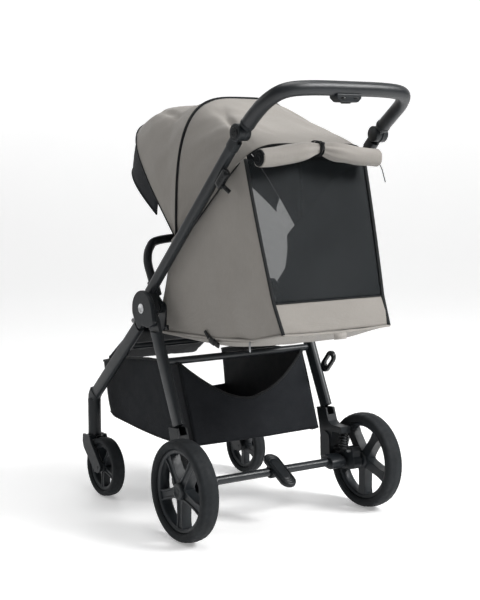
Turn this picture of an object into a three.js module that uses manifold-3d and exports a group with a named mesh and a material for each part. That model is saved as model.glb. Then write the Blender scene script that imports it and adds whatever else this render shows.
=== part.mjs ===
// Lightweight four-wheel pushchair with a reclining seat, folding hood and sprung rear axle.
// Millimetres, +Z up, +X to the pusher's left, the child faces -Y.
// Each function below makes one group of pieces. Every piece is one closed solid.
import * as THREE from 'three';
import { mergeVertices } from 'three/addons/utils/BufferGeometryUtils.js';
import Module from 'manifold-3d';

const wasm = await Module();
wasm.setup();

// ---- driving dimensions --------------------------------------------------------------------
const GAP = 0.3;                 // clearance between pieces that touch
const REAR_AXLE_Y = 170;         // the rear axle lies this far behind the origin
const SIDES = [['left', 1], ['right', -1]];

// frame, given behind (+Y) or ahead of the rear axle
const HUB = { y: -245, z: 515 };                 // fold axis
const LEG = { inner: 213, outer: 233 };          // side plane of the front and rear legs
const FRONT_LEG_TOP = [-284, 468];
const FRONT_LEG_FOOT = [-531, 248];
const REAR_LEG_TOP = [-212, 484];
const REAR_LEG_FOOT = [-101, 248];
const PUSHER_FOOT = { x: 202, y: -268, z: 550 };
const KNUCKLE = { x: 197, y: 120, z: 938, r: 20 };

// wheels
const REAR = { r: 120, width: 38, rim: 97, x: 272, z: 120 };
const FRONT = { r: 77, width: 30, rim: 61, x: 223, y: -464 };
const SWIVEL_Y = -522;
const SLEEVE = { r: 17, low: 155, high: 252 };

// suspension and axle
const PIVOT = { y: -82, z: 122 };
const CROSSBAR = { y: -32, z: 120, r: 10.5 };
const SPRING = { x: 229, y: -36, low: 142.5, high: 188, r: 10.5, wire: 1.7, turns: 6 };
const BRAKE_PIN = { y: 0, z: 148.5, r: 3.5 };

// seat and hood
const TUB_HALF = 176;
const WALL = 6;
const HOOD = { y: -160, z: 680 };                // axis of the hood bows
const ARCH_POWER = 4.4;
const LEGREST = { y: -447, z: 456 };

// ---- materials -------------------------------------------------------------------------------
function paint(color, roughness, metalness = 0) {
  return new THREE.MeshStandardMaterial({ color, roughness, metalness });
}
const FRAME_BLACK = paint(0x34393c, 0.5, 0.3);
const PLASTIC = paint(0x292d2f, 0.55);
const BUTTON = paint(0x1c1f21, 0.45);
const RUBBER = paint(0x232628, 0.9);
const RIM = paint(0x303436, 0.5);
const LEATHER = paint(0x26292c, 0.45);
const TAUPE = paint(0x8b857b, 0.9);
const DARK_CLOTH = paint(0x2c3033, 0.9);
const MESH_CLOTH = paint(0x34393b, 0.85);
const STEEL = paint(0x8c9093, 0.35, 0.9);

// ---- helpers ---------------------------------------------------------------------------------
const stroller = new THREE.Group();
stroller.name = 'stroller';
const model = new THREE.Group();
model.position.y = REAR_AXLE_Y;
stroller.add(model);

function add(name, geometry, material) {
  const mesh = new THREE.Mesh(geometry, material);
  mesh.name = name;
  model.add(mesh);
  return mesh;
}

function toSolid(geometry) {
  const bare = geometry.clone();
  bare.deleteAttribute('normal');
  bare.deleteAttribute('uv');
  const merged = mergeVertices(bare, 1e-3);
  const vertProperties = new Float32Array(merged.attributes.position.array);
  const triVerts = new Uint32Array(merged.index.array);
  return new wasm.Manifold(new wasm.Mesh({ numProp: 3, vertProperties, triVerts }));
}

function toGeometry(solid) {
  const mesh = solid.getMesh();
  const geometry = new THREE.BufferGeometry();
  geometry.setAttribute('position', new THREE.BufferAttribute(mesh.vertProperties, 3));
  geometry.setIndex(new THREE.BufferAttribute(mesh.triVerts, 1));
  return geometry;
}

function union(...pieces) {
  return toGeometry(pieces.map(toSolid).reduce((a, b) => a.add(b)));
}

function cut(piece, ...tools) {
  return toGeometry(tools.map(toSolid).reduce((a, b) => a.subtract(b), toSolid(piece)));
}

function outline(points) {
  return new THREE.Shape(points.map(([a, b]) => new THREE.Vector2(a, b)));
}

// A rounded rectangle of the given size, centred on its own origin.
function roundedBox(width, height, radius, arcSteps = 2) {
  const shape = new THREE.Shape();
  const corners = [[1, 1], [-1, 1], [-1, -1], [1, -1]];
  const points = [];
  corners.forEach(([sx, sy], quarter) => {
    for (let i = 0; i <= arcSteps; i++) {
      const angle = (quarter + i / arcSteps) * Math.PI / 2;
      points.push(new THREE.Vector2(
        sx * (width / 2 - radius) + radius * Math.cos(angle),
        sy * (height / 2 - radius) + radius * Math.sin(angle)));
    }
  });
  shape.setFromPoints(points);
  return shape;
}

function circle(radius, sides) {
  const points = [];
  for (let i = 0; i < sides; i++) {
    const angle = 2 * Math.PI * i / sides;
    points.push([radius * Math.cos(angle), radius * Math.sin(angle)]);
  }
  return outline(points);
}

// A slot-shaped outline from one (y, z) point to another.
function stadium(from, to, radius, arcSteps = 6) {
  const along = Math.atan2(to[1] - from[1], to[0] - from[0]);
  const points = [];
  [[to, -1], [from, 1]].forEach(([centre, turn]) => {
    for (let i = 0; i <= arcSteps; i++) {
      const angle = along + turn * Math.PI / 2 + Math.PI * i / arcSteps;
      points.push([centre[0] + radius * Math.cos(angle), centre[1] + radius * Math.sin(angle)]);
    }
  });
  return outline(points);
}

// A (y, z) outline made solid between two X values; side -1 mirrors it to the right.
function prism(shape, x0, x1, side = 1) {
  const geometry = new THREE.ExtrudeGeometry(shape, { depth: x1 - x0, bevelEnabled: false });
  geometry.applyMatrix4(new THREE.Matrix4().makeBasis(
    new THREE.Vector3(0, 1, 0), new THREE.Vector3(0, 0, 1), new THREE.Vector3(1, 0, 0)));
  geometry.translate(side > 0 ? x0 : -x1, 0, 0);
  return geometry;
}

function box(x0, x1, y0, y1, z0, z1) {
  const geometry = new THREE.BoxGeometry(x1 - x0, y1 - y0, z1 - z0);
  geometry.translate((x0 + x1) / 2, (y0 + y1) / 2, (z0 + z1) / 2);
  return geometry;
}

function sideBox(side, x0, x1, y0, y1, z0, z1) {
  return side > 0 ? box(x0, x1, y0, y1, z0, z1) : box(-x1, -x0, y0, y1, z0, z1);
}

function rodX(radius, x0, x1, y, z, sides = 20) {
  const geometry = new THREE.CylinderGeometry(radius, radius, x1 - x0, sides);
  geometry.rotateZ(Math.PI / 2);
  geometry.translate((x0 + x1) / 2, y, z);
  return geometry;
}

function sideRod(side, radius, x0, x1, y, z, sides = 20) {
  return side > 0 ? rodX(radius, x0, x1, y, z, sides) : rodX(radius, -x1, -x0, y, z, sides);
}

// A straight bar between two (x, y, z) points; the section's first axis lies along X.
function bar(from, to, section) {
  const a = new THREE.Vector3(...from);
  const b = new THREE.Vector3(...to);
  const along = b.clone().sub(a);
  const geometry = new THREE.ExtrudeGeometry(section, { depth: along.length(), bevelEnabled: false });
  along.normalize();
  const up = new THREE.Vector3().crossVectors(along, new THREE.Vector3(1, 0, 0)).normalize();
  const across = new THREE.Vector3().crossVectors(up, along);
  geometry.applyMatrix4(new THREE.Matrix4().makeBasis(across, up, along));
  geometry.translate(a.x, a.y, a.z);
  return geometry;
}

// A tube of constant section along a smooth curve through the points.
function pipe(points, section, steps) {
  const path = new THREE.CatmullRomCurve3(points.map((p) => new THREE.Vector3(...p)), false, 'centripetal');
  return new THREE.ExtrudeGeometry(section, { steps, extrudePath: path, bevelEnabled: false });
}

// A profile of (radius, x) points spun about the X axis through (y, z).
function spinX(profile, y, z, segments, closed = false) {
  const points = profile.map(([r, x]) => new THREE.Vector2(r, x));
  if (closed) {
    points.push(points[0].clone());
  }
  const geometry = new THREE.LatheGeometry(points, segments);
  geometry.rotateZ(-Math.PI / 2);
  geometry.translate(0, y, z);
  return geometry;
}

// ---- chassis: legs, hubs and seat frame ----------------------------------------------------------
function chassis() {
  const legSection = roundedBox(LEG.outer - LEG.inner, 33, 8);
  const middle = (LEG.inner + LEG.outer) / 2;
  for (const [side, s] of SIDES) {
    const leg = bar([s * middle, ...FRONT_LEG_TOP], [s * middle, ...FRONT_LEG_FOOT], legSection);
    const sleeveRoom = new THREE.CylinderGeometry(SLEEVE.r + GAP, SLEEVE.r + GAP, 140, 24);
    sleeveRoom.rotateX(Math.PI / 2);
    sleeveRoom.translate(s * FRONT.x, SWIVEL_Y, 190);
    add(`front_leg_${side}`, cut(leg, sleeveRoom), FRAME_BLACK);

    const plate = prism(outline([
      [-292, 500], [-294, 522], [-286, 541], [-270, 555], [-250, 560], [-230, 557], [-212, 545],
      [-201, 527], [-196, 506], [-190, 485], [-226, 470], [-246, 474], [-263, 462], [-278, 480],
    ]), 225.5, 238, s);
    const pin = sideRod(s, 8, 164, 236, HUB.y, HUB.z);
    add(`hub_housing_${side}`, union(plate, pin), PLASTIC);

    const sleeve = new THREE.LatheGeometry([
      [0, SLEEVE.high], [SLEEVE.r - 3, SLEEVE.high], [SLEEVE.r, SLEEVE.high - 3],
      [SLEEVE.r, SLEEVE.low], [6.8, SLEEVE.low], [6.8, 236], [0, 236],
    ].map(([r, z]) => new THREE.Vector2(r, z)).reverse(), 24);
    sleeve.rotateX(Math.PI / 2);
    sleeve.translate(s * FRONT.x, SWIVEL_Y, 0);
    add(`caster_sleeve_${side}`, sleeve, PLASTIC);
  }
  add('front_cross_tube', rodX(8, -LEG.inner + GAP, LEG.inner - GAP, -352, 407, 16), FRAME_BLACK);

  const rails = pipe([
    [170, -228, 466], [170, -330, 466], [170, -395, 465], [158, -424, 463], [120, -430, 462],
    [-120, -430, 462], [-158, -424, 463], [-170, -395, 465], [-170, -330, 466], [-170, -228, 466],
  ], circle(7, 8), 28);
  const parts = [rails];
  for (const [, s] of SIDES) {
    const link = prism(stadium([HUB.y, HUB.z], [HUB.y - 8, 470], 15), 163, 178, s);
    parts.push(cut(link, sideRod(s, 8 + GAP, 150, 190, HUB.y, HUB.z)));
  }
  add('seat_frame', union(...parts), FRAME_BLACK);
  add('seat_deck', box(-162, 162, -419, -232, 446, 453), DARK_CLOTH);
}

// ---- front casters ---------------------------------------------------------------------------------
function casters() {
  const half = FRONT.width / 2;
  for (const [side, s] of SIDES) {
    const x = s * FRONT.x;
    const stem = new THREE.CylinderGeometry(6.2, 6.2, 80, 12);
    stem.rotateX(Math.PI / 2);
    stem.translate(x, SWIVEL_Y, 190);
    const crown = new THREE.CylinderGeometry(18, 18, 20, 18);
    crown.rotateX(Math.PI / 2);
    crown.translate(x, SWIVEL_Y, SLEEVE.low - GAP - 10);
    const armShape = outline([
      [-541, 154], [-543, 134], [-537, 118], [-480, 66], [-464, 62], [-451, 69], [-447, 80],
      [-455, 92], [-498, 138], [-505, 154],
    ]);
    const arms = [1, -1].map((t) => {
      const inner = half + 4;
      return prism(armShape, x + (t > 0 ? inner : -inner - 7), x + (t > 0 ? inner + 7 : -inner));
    });
    const bridge = box(x - half - 9, x + half + 9, -540, -506, 135, 152);
    const bolt = rodX(5, x - half - 12, x + half + 12, FRONT.y, FRONT.r, 12);
    const wheelRoom = rodX(FRONT.r + 3, x - half - 3.5, x + half + 3.5, FRONT.y, FRONT.r, 24);
    const crownCut = cut(union(crown, bridge), wheelRoom);
    add(`caster_fork_${side}`, union(crownCut, stem, ...arms, bolt), PLASTIC);

    const tab = box(x - 9, x + 9, -503.6, -492, 149.5, 153.8);
    add(`swivel_lock_${side}`, tab, BUTTON);
    wheel(`front_rim_${side}`, `front_tyre_${side}`, x, FRONT.y, FRONT, 5.5, 13, 6, 10, 0);
  }
}

// A spoked rim and its foam tyre, centred on x, standing on the floor.
function wheel(rimName, tyreName, x, y, size, bore, boss, spokeHalf, spokeDepth, teethSide) {
  const half = size.width / 2;
  const segments = 30;
  const felloe = spinX([
    [size.rim - 8, x - half + 8], [size.rim, x - half + 5], [size.rim, x + half - 5],
    [size.rim - 8, x + half - 8],
  ], y, size.r, segments, true);
  const hub = spinX([
    [bore, x - half], [boss, x - half], [boss, x + half], [bore, x + half],
  ], y, size.r, 16, true);
  const pieces = [felloe, hub];
  for (let i = 0; i < 5; i++) {
    const spoke = new THREE.BoxGeometry(2 * spokeDepth, 2 * spokeHalf, size.rim - 4 - boss + 3);
    spoke.translate(0, 0, -(size.rim - 4 + boss - 3) / 2);
    spoke.rotateX(2 * Math.PI * i / 5);
    spoke.translate(x, y, size.r);
    pieces.push(spoke);
  }
  if (teethSide) {
    const face = x - teethSide * half;
    for (let i = 0; i < 10; i++) {
      const tooth = new THREE.BoxGeometry(8, 7, 13);
      tooth.translate(-teethSide * 3, 0, 28.5);
      tooth.rotateX(2 * Math.PI * (i + 0.5) / 10);
      tooth.translate(face, y, size.r);
      pieces.push(tooth);
    }
    pieces.push(spinX([
      [boss - 2, face + teethSide * 0.5], [36, face + teethSide * 0.5],
      [36, face + teethSide * 6], [boss - 2, face + teethSide * 6],
    ], y, size.r, 16, true));
  }
  add(rimName, union(...pieces.map(outward)), RIM);

  const tread = [];
  const inner = size.rim + GAP;
  const steps = 6;
  tread.push([inner, x - half + 5]);
  for (let i = 0; i <= steps; i++) {
    const angle = Math.PI * i / steps;
    tread.push([
      inner + 4 + (size.r - inner - 4) * Math.pow(Math.sin(angle), 0.6),
      x - half * Math.cos(angle),
    ]);
  }
  tread.push([inner, x + half - 5]);
  add(tyreName, outward(spinX(tread, y, size.r, segments, true)), RUBBER);
}

// Turns a closed surface the right way out when its profile ran the other way round.
function outward(geometry) {
  const position = geometry.attributes.position;
  const index = geometry.index;
  const count = index ? index.count : position.count;
  const at = (i) => new THREE.Vector3().fromBufferAttribute(position, index ? index.getX(i) : i);
  let volume = 0;
  for (let i = 0; i < count; i += 3) {
    volume += at(i).dot(at(i + 1).cross(at(i + 2)));
  }
  if (volume > 0) {
    return geometry;
  }
  if (index) {
    for (let i = 0; i < count; i += 3) {
      const first = index.getX(i);
      index.setX(i, index.getX(i + 1));
      index.setX(i + 1, first);
    }
  }
  return geometry;
}

// ---- rear legs, springs and sprung axle --------------------------------------------------------------
function rearLegs() {
  const section = roundedBox(LEG.outer - LEG.inner, 34, 8);
  const middle = (LEG.inner + LEG.outer) / 2;
  for (const [side, s] of SIDES) {
    const tube = bar([s * middle, ...REAR_LEG_TOP], [s * middle, ...REAR_LEG_FOOT], section);
    const upper = cut(tube, sideBox(s, 224.9, 240, -300, -170, 462, 600));
    const eye = prism(stadium([HUB.y, HUB.z], [-216, 478], 21), 213.5, 224.9, s);
    const bore = sideRod(s, 8 + GAP, 200, 240, HUB.y, HUB.z);
    add(`rear_leg_${side}`, cut(union(upper, eye), bore), FRAME_BLACK);

    const head = prism(outline([
      [-124, 243], [-86, 246], [-74, 214], [-62, 206], [-24, 206], [-20, 190], [-58, 189], [-64, 152],
      [-104, 152], [-112, 200],
    ].reverse()), 209, 238, s);
    const socket = bar([s * middle, -106, 258.6], [s * middle, -90, 224.5],
      roundedBox(LEG.outer - LEG.inner + 0.6, 34.6, 8.3));
    const foot = prism(stadium([-84, 168], [PIVOT.y, PIVOT.z], 19), 205, 219, s);
    const pin = sideRod(s, 6, 206, 240, PIVOT.y, PIVOT.z);
    add(`leg_housing_${side}`, union(cut(head, socket), foot, pin), PLASTIC);

    const turns = SPRING.turns;
    const coil = [];
    for (let i = 0; i <= turns * 7; i++) {
      const angle = 2 * Math.PI * i / 7;
      const height = SPRING.low + 2.2 + (SPRING.high - SPRING.low - 4.4) * i / (turns * 7);
      coil.push([
        s * SPRING.x + SPRING.r * Math.cos(angle), SPRING.y + SPRING.r * Math.sin(angle), height,
      ]);
    }
    add(`suspension_spring_${side}`, pipe(coil, circle(SPRING.wire, 4), turns * 7), STEEL);

    const arm = prism(stadium([PIVOT.y, PIVOT.z], [0, REAR.z], 19), 220, 244, s);
    const pivotBore = sideRod(s, 6.5, 215, 250, PIVOT.y, PIVOT.z);
    const seat = prism(outline([
      [-52, 136], [-52, 142], [-18, 142], [-14, 158], [6, 158], [12, 150], [12, 130],
    ].reverse()), 220, 244, s);
    const pinBore = sideRod(s, BRAKE_PIN.r + 0.5, 215, 250, BRAKE_PIN.y, BRAKE_PIN.z);
    const stub = sideRod(s, 6, 240, 290, 0, REAR.z);
    add(`swing_arm_${side}`, union(cut(union(arm, seat), pivotBore, pinBore), stub), PLASTIC);

    add(`brake_pin_${side}`, sideRod(s, BRAKE_PIN.r, 212, 243, BRAKE_PIN.y, BRAKE_PIN.z, 12), STEEL);
    wheel(`rear_rim_${side}`, `rear_tyre_${side}`, s * REAR.x, 0, REAR, 6.5, 20, 11, 12, s);
  }
  add('rear_cross_tube', rodX(9, -LEG.inner + GAP, LEG.inner - GAP, -172, 392, 16), FRAME_BLACK);

  const tube = rodX(CROSSBAR.r, -219.5, 219.5, CROSSBAR.y, CROSSBAR.z, 16);
  const ends = [1, -1].map((s) => prism(stadium([-42, 122], [-22, 118], 15), 172, 214, s));
  add('axle_crossbar', union(tube, ...ends), FRAME_BLACK);

  const plate = bar([-12, -68, 152], [-12, 38, 92], roundedBox(42, 14, 6));
  const wrap = rodX(16, -31, 7, CROSSBAR.y, CROSSBAR.z, 20);
  const tubeRoom = rodX(CROSSBAR.r + 0.5, -60, 60, CROSSBAR.y, CROSSBAR.z, 20);
  add('brake_pedal', cut(union(plate, wrap), tubeRoom), PLASTIC);
}

// ---- fold latch on the right rear leg ----------------------------------------------------------------
function foldLatch() {
  const loop = stadium([-99, 352], [-76, 379], 15);
  loop.holes.push(new THREE.Path(stadium([-92, 360], [-78, 376], 7).getPoints().reverse()));
  add('fold_latch', prism(loop, 214, 222, -1), BUTTON);
}

// ---- pushers, knuckles and handle ---------------------------------------------------------------------
function along(from, to, distance) {
  const a = new THREE.Vector3(...from);
  return new THREE.Vector3(...to).sub(a).normalize().multiplyScalar(distance).add(a).toArray();
}

function pushers() {
  for (const [side, s] of SIDES) {
    const foot = [s * PUSHER_FOOT.x, PUSHER_FOOT.y, PUSHER_FOOT.z];
    const top = [s * KNUCKLE.x, KNUCKLE.y, KNUCKLE.z];
    const collarTop = along(top, foot, 22);
    const collarFoot = along(top, foot, 48);
    const tube = bar(foot, along(top, foot, 48 + GAP), roundedBox(20, 28, 8));
    const eye = prism(stadium([HUB.y, HUB.z], [-262, 546], 16), 197, 211, s);
    const bore = sideRod(s, 8 + GAP, 180, 220, HUB.y, HUB.z);
    add(`pusher_tube_${side}`, cut(union(tube, eye), bore), FRAME_BLACK);

    const collar = bar(collarFoot, collarTop, roundedBox(23, 31, 9));
    const link = bar([s * 203, ...collarTop.slice(1)], [s * 203, KNUCKLE.y, KNUCKLE.z], roundedBox(9, 26, 3));
    const disc = spinX([
      [0, 198], [KNUCKLE.r, 198], [KNUCKLE.r, 212], [KNUCKLE.r - 1.5, 213.5], [13.2, 213.5],
      [13.2, 207], [0, 207],
    ].map(([r, x]) => [r, s * x]), KNUCKLE.y, KNUCKLE.z, 20);
    add(`knuckle_${side}`, union(collar, outward(link), outward(disc)), PLASTIC);
    const button = spinX([[0, 210], [12.5, 210], [12.5, 214.5], [11, 216], [0, 216]]
      .map(([r, x]) => [r, s * x]), KNUCKLE.y, KNUCKLE.z, 20);
    add(`handle_button_${side}`, outward(button), BUTTON);
  }
}

function handle() {
  const half = [[193, 138, 953], [193, 172, 979], [188, 211, 1006], [166, 240, 1025], [112, 252, 1032]];
  const path = [...half, [0, 255, 1033], ...half.slice().reverse().map(([x, y, z]) => [-x, y, z])];
  const parts = [pipe(path, circle(14.5, 10), 30)];
  for (const [, s] of SIDES) {
    parts.push(sideRod(s, 18.5, 180, 197.5, KNUCKLE.y, KNUCKLE.z, 20));
    parts.push(prism(stadium([KNUCKLE.y, KNUCKLE.z], [142, 956], 12), 181, 197, s));
  }
  add('handle_bar', union(...parts), LEATHER);
  const body = box(-20, 44, 241, 267, 1004, 1022);
  const barRoom = pipe([[-112, 252, 1032], [0, 255, 1033], [112, 252, 1032]], circle(15.2, 16), 12);
  const slider = box(-4, 28, 246, 262, 1000, 1009);
  add('fold_release_housing', cut(body, barRoom, slider), PLASTIC);
  add('fold_release_button', box(2, 20, 247, 261, 1000.5, 1008.5), BUTTON);
}

// ---- bumper bar ------------------------------------------------------------------------------------------
// Two arms turn on the hub pins, and the bar plugs into the cup at the end of each arm.
function bumper() {
  const foot = new THREE.Vector3(170, -292, 546);
  const lift = new THREE.Vector3(0, -36, 72).normalize();
  const up = (distance) => foot.clone().addScaledVector(lift, distance).toArray();
  const half = [foot.toArray(), up(40), [169, -331, 622], [158, -339, 656], [126, -343, 674]];
  const mirrored = half.slice().reverse().map(([x, y, z]) => [-x, y, z]);
  add('bumper_bar', pipe([...half, [0, -346, 680], ...mirrored], circle(11, 8), 30), LEATHER);
  for (const [side, s] of SIDES) {
    const flip = ([x, y, z]) => [s * x, y, z];
    const cup = bar(flip(up(-6)), flip(up(30)), circle(14.5, 16));
    const room = bar(flip(up(-GAP)), flip(up(60)), circle(11.6, 16));
    const arm = prism(stadium([HUB.y, HUB.z], [-288, 550], 14), 180, 191, s);
    const bore = sideRod(s, 8 + GAP, 150, 200, HUB.y, HUB.z);
    add(`bumper_mount_${side}`, cut(union(arm, cup), room, bore), PLASTIC);
  }
}

// ---- seat: tub, panels, backrest, legrest --------------------------------------------------------------
function seat() {
  const side = [
    [-226, 446], [-150, 438], [-32, 436], [120, 462], [222, 490], [192, 562], [106, 852], [92, 864],
    [-132, 686], [-178, 664], [-216, 560],
  ];
  const inner = [
    [-240, 452], [-150, 445], [-32, 443], [120, 469], [240, 500], [240, 900], [-240, 900],
  ];
  const shell = cut(prism(outline(side), -TUB_HALF, TUB_HALF),
    prism(outline(inner), -TUB_HALF + WALL, TUB_HALF - WALL));
  const hubRoom = SIDES.map(([, s]) => sideBox(s, 160, 190, -280, -212, 440, 600));
  add('seat_tub', cut(shell, ...hubRoom), TAUPE);

  const panelHalf = TUB_HALF - WALL - 2;
  add('rear_panel', prism(outline([
    [216, 499], [222, 501], [195, 562], [112, 846], [106, 844], [189, 561],
  ]), -panelHalf, panelHalf), MESH_CLOTH);

  const roll = new THREE.LatheGeometry([
    [0, -168], [22, -168], [23, -120], [21, -60], [15, -8], [15, 8], [21, 60], [23, 120], [22, 168], [0, 168],
  ].map(([r, x]) => new THREE.Vector2(r, x)), 20);
  roll.rotateZ(-Math.PI / 2);
  roll.translate(0, 150, 882);
  add('flap_roll', outward(roll), TAUPE);

  add('backrest_board', prism(outline([
    [-186, 452], [-32, 450], [120, 475], [198, 495], [198, 500], [120, 480], [-32, 455], [-186, 457],
  ]), -148, 148), PLASTIC);
  add('seat_pad', prism(outline([
    [-186, 460], [-32, 458], [120, 483], [196, 503], [192, 521], [120, 502], [-32, 478], [-186, 480],
  ]), -150, 150), DARK_CLOTH);

  const legrest = prism(outline([
    [LEGREST.y - 2, LEGREST.z + 6], [LEGREST.y + 1, LEGREST.z - 6], [-588, 342], [-606, 335],
    [-609.5, 345], [-594, 357],
  ]), -150, 150);
  add('legrest', outward(legrest), DARK_CLOTH);
  add('harness_buckle', box(-24, 24, -262, -222, 488, 500), PLASTIC);
  add('buckle_button', rodButton(), BUTTON);
}

function rodButton() {
  const button = new THREE.CylinderGeometry(9, 9, 4, 16);
  button.rotateX(Math.PI / 2);
  button.translate(0, -242, 502.8);
  return button;
}

// ---- hood: bows and fabric --------------------------------------------------------------------------------
// A curved sheet that fans about the hood axis from one angle to another. Each section is an arch
// of half-width and reach that change evenly over the angle.
function fan(stations, low, thickness, steps) {
  const arch = [];
  const count = 12;
  const power = 2 / ARCH_POWER;
  const start = Math.asin(Math.pow(low, 1 / power));
  for (let i = 0; i <= count; i++) {
    const t = start + (Math.PI - 2 * start) * i / count;
    const x = Math.sign(Math.cos(t)) * Math.pow(Math.abs(Math.cos(t)), power);
    arch.push([x, Math.pow(Math.sin(t), power)]);
  }
  const scale = 1 - thickness / stations[0].half;
  const inside = arch.slice().reverse().map(([x, y]) => [x * scale, y * scale]);
  inside[0][1] = low;
  inside[inside.length - 1][1] = low;
  const geometry = new THREE.ExtrudeGeometry(outline([...arch, ...inside]),
    { depth: 1, steps, bevelEnabled: false });
  const position = geometry.attributes.position;
  const first = stations[0].angle;
  const span = stations[stations.length - 1].angle - first;
  for (let i = 0; i < position.count; i++) {
    const { angle, half, reach } = between(stations, first + span * position.getZ(i));
    const turn = angle * Math.PI / 180;
    const r = position.getY(i) * reach;
    position.setXYZ(i, position.getX(i) * half, HOOD.y + r * Math.cos(turn), HOOD.z + r * Math.sin(turn));
  }
  return outward(geometry);
}

// The arch at an angle, interpolated between its neighbouring stations.
function between(stations, angle) {
  let i = 0;
  while (i < stations.length - 2 && angle > stations[i + 1].angle) {
    i++;
  }
  const a = stations[i];
  const b = stations[i + 1];
  const f = (angle - a.angle) / (b.angle - a.angle);
  return { angle, half: a.half + (b.half - a.half) * f, reach: a.reach + (b.reach - a.reach) * f };
}

function hood() {
  const station = (angle, half, reach) => ({ angle, half, reach });
  add('hood_rear', fan([station(39, 175, 368), station(62, 182, 350), station(86, 188, 350)], 0.08, 4, 6), TAUPE);
  add('hood_front', fan([station(94, 190, 350), station(122, 189, 404), station(134, 187, 410)], 0.08, 4, 5), TAUPE);
  add('hood_visor', fan([station(135, 186, 406), station(149, 183, 372)], 0.25, 4, 2), DARK_CLOTH);
  add('hood_bow', fan([station(87, 191, 352), station(93, 191, 352)], 0.05, 7, 2), BUTTON);
}

// ---- storage basket ------------------------------------------------------------------------------------------
function basket() {
  const side = outline([
    [-504, 214], [-484, 205], [-110, 194], [-84, 200], [-118, 300], [-158, 386], [-300, 388], [-430, 372],
    [-530, 344],
  ]);
  const hollow = outline([
    [-497, 220], [-482, 211], [-112, 200], [-92, 205], [-124, 300], [-166, 400], [-300, 400], [-532, 400],
  ]);
  const shell = cut(prism(side, -194, 194), prism(hollow, -188, 188));
  const dip = new THREE.Shape();
  dip.moveTo(-150, 420);
  dip.quadraticCurveTo(-90, 292, 0, 290);
  dip.quadraticCurveTo(90, 292, 150, 420);
  const rearCut = new THREE.ExtrudeGeometry(dip, { depth: 160, bevelEnabled: false, curveSegments: 6 });
  rearCut.rotateX(Math.PI / 2);
  rearCut.translate(0, -60, 0);
  const frontCut = box(-187, 187, -560, -400, 246, 400);
  const tubeRoom = rodX(9.6, -220, 220, -172, 392, 16);
  add('storage_basket', cut(shell, rearCut, frontCut, tubeRoom), DARK_CLOTH);
}

chassis();
casters();
rearLegs();
foldLatch();
pushers();
handle();
bumper();
seat();
hood();
basket();

export default stroller;
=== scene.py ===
import math

import bmesh
import bpy
from mathutils import Matrix, Vector, noise


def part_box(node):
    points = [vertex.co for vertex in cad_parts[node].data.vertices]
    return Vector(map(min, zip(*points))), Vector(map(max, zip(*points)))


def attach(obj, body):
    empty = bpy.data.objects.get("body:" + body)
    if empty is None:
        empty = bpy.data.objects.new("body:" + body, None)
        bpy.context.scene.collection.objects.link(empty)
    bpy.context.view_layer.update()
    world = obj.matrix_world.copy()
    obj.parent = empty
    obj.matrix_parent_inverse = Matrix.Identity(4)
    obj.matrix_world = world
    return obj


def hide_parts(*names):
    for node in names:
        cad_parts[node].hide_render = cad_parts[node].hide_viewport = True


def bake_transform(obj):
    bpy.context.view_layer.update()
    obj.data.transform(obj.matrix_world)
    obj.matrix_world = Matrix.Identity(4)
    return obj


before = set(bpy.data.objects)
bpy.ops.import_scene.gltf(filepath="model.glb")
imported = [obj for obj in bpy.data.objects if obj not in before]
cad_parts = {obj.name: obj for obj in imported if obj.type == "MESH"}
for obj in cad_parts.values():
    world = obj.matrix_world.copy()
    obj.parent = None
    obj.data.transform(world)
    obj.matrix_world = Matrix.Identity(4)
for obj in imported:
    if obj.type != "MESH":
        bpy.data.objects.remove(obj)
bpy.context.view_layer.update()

# ---- driving places, in millimetres from the rear axle ----
tyre_low, tyre_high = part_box("rear_tyre_left")
REAR_AXLE_Y = (tyre_low.y + tyre_high.y) / 2
REAR_R = (tyre_high.z - tyre_low.z) / 2 * 1000
REAR_X = (tyre_low.x + tyre_high.x) / 2 * 1000
REAR_WIDTH = (tyre_high.x - tyre_low.x) * 1000
front_low, front_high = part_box("front_tyre_left")
FRONT_R = (front_high.z - front_low.z) / 2 * 1000
FRONT_X = (front_low.x + front_high.x) / 2 * 1000
FRONT_Y = ((front_low.y + front_high.y) / 2 - REAR_AXLE_Y) * 1000
FRONT_WIDTH = (front_high.x - front_low.x) * 1000
HUB = (-245.0, 515.0)
KNUCKLE = (120.0, 938.0)
HOOD = (-160.0, 680.0)
SIDES = (("left", 1), ("right", -1))
TUB_HALF = 176.0
CLOTH = 1.6


def mm(x, y, z):
    """A point given in millimetres from the rear axle, as metres in the row frame."""
    return Vector((x / 1000, y / 1000 + REAR_AXLE_Y, z / 1000))


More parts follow.
